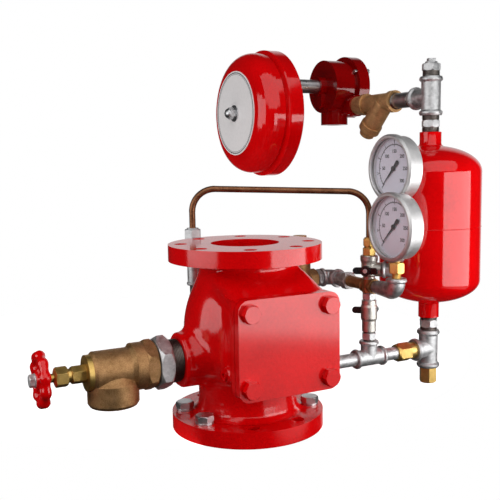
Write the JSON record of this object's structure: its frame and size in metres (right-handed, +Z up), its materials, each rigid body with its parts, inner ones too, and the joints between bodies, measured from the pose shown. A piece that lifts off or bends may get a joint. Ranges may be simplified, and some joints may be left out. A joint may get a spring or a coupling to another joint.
{
  "type": "sprinkler alarm valve",
  "caption": "Flanged wet-pipe sprinkler alarm check valve with cover, angle drain valve, gauges, by-pass tube, retarding chamber, strainer, water motor and alarm gong.",
  "frame": {"origin": "centre of the bottom flange's lower face, on the waterway's axis", "axes": "+Z up along the waterway towards the outlet flange, +X towards the alarm line and retarding chamber, the cover faces -Y"},
  "size_m": [0.7597, 0.5258, 0.597],
  "materials": {
    "red_paint": "gloss enamel over cast iron and sheet",
    "bronze": "as cast, fine grain",
    "brass": "turned",
    "galvanized": "mottled zinc on malleable iron",
    "nickel": "satin nickel plate",
    "black_iron": "black varnish on steel pipe",
    "black_enamel": "gloss enamel",
    "copper": "drawn, dulled",
    "stainless": "polished",
    "zinc_steel": "bright zinc plate",
    "rubber": "matt",
    "lens": "clear",
    "dial_white": "printed white",
    "pointer_black": "matt black",
    "label": "satin sheet"
  },
  "bodies": {
    "valve": {"valve_body": "red_paint", "body_plug": "red_paint", "seat_ring": "bronze", "hinge_pin": "stainless", "cover_plate": "red_paint", "cover_gasket": "rubber", "cover_bolts": "red_paint", "flange_bolts": "zinc_steel", "drain_coupling": "galvanized", "drain_valve_body": "bronze", "drain_bonnet": "brass", "drain_gland_nut": "brass", "supply_coupling": "galvanized", "tube_nut": "galvanized", "copper_tube": "copper", "tube_fittings": "brass", "alarm_valve_body": "nickel", "gauge_valve_body": "nickel", "bronze_cross": "bronze", "street_elbow": "galvanized", "trim_elbows": "galvanized", "black_nipples": "black_iron", "hex_fittings": "galvanized", "alarm_pipes": "galvanized", "tees": "galvanized", "check_valve_body": "bronze", "bronze_caps": "bronze", "gauge_cases": "stainless", "gauge_bezels": "stainless", "gauge_lenses": "lens", "gauge_dials": "dial_white", "gauge_stems": "brass", "brass_fittings": "brass", "retard_chamber": "red_paint", "strainer_body": "bronze", "strainer_screen": "stainless", "motor_housing": "red_paint", "motor_cover": "red_paint", "motor_screws": "zinc_steel", "shaft_tube": "zinc_steel", "gong_bracket": "zinc_steel", "gong": "red_paint", "gong_label": "label", "acorn_nut": "zinc_steel"},
    "clapper": {"clapper": "bronze", "clapper_seal": "rubber", "clapper_retainer": "stainless"},
    "drain_lift": {"drain_disc": "bronze"},
    "drain_wheel": {"drain_stem": "brass", "drain_handwheel": "red_paint", "handwheel_nut": "stainless"},
    "alarm_valve": {"alarm_valve_ball": "stainless", "alarm_valve_handle": "black_enamel"},
    "gauge_valve": {"gauge_valve_ball": "stainless", "gauge_valve_handle": "black_enamel"},
    "front_needle": {"front_pointer": "pointer_black"},
    "rear_needle": {"rear_pointer": "pointer_black"},
    "striker_shaft": {"impeller": "brass", "drive_shaft": "stainless", "striker": "brass"}
  },
  "joints": [
    {"name": "clapper_hinge", "type": "hinge", "parent": "valve", "child": "clapper", "pos_m": [0, 0.066, 0.106], "axis": [-1, 0, 0], "range_deg": [0, 55]},
    {"name": "drain_lift", "type": "slide", "parent": "valve", "child": "drain_lift", "axis": [-1, 0, 0], "range_m": [0, 0.0121]},
    {"name": "drain_turn", "type": "hinge", "parent": "drain_lift", "child": "drain_wheel", "pos_m": [-0.308, 0, 0.112], "axis": [-1, 0, 0], "range_deg": [0, 720]},
    {"name": "alarm_valve_turn", "type": "hinge", "parent": "valve", "child": "alarm_valve", "pos_m": [0.2263, 0, 0.1454], "axis": [0.3827, 0.9239, 0], "range_deg": [0, 90]},
    {"name": "gauge_valve_turn", "type": "hinge", "parent": "valve", "child": "gauge_valve", "pos_m": [0.2263, 0, 0.2174], "axis": [-0.7716, -0.6361, 0], "range_deg": [0, 90]},
    {"name": "front_needle_turn", "type": "hinge", "parent": "valve", "child": "front_needle", "pos_m": [0.2093, -0.071, 0.2915], "axis": [1, 0, 0], "range_deg": [0, 270]},
    {"name": "rear_needle_turn", "type": "hinge", "parent": "valve", "child": "rear_needle", "pos_m": [0.23729, -0.03395, 0.38], "axis": [1, 0, 0], "range_deg": [0, 270]},
    {"name": "striker_spin", "type": "hinge", "parent": "valve", "child": "striker_shaft", "pos_m": [0.3, 0.268, 0.535], "axis": [1, 0, 0], "continuous": true}
  ],
  "couplings": [
    {"joint": "drain_lift", "follows": "drain_turn", "m_per_rad": 0.00095493}
  ]
}
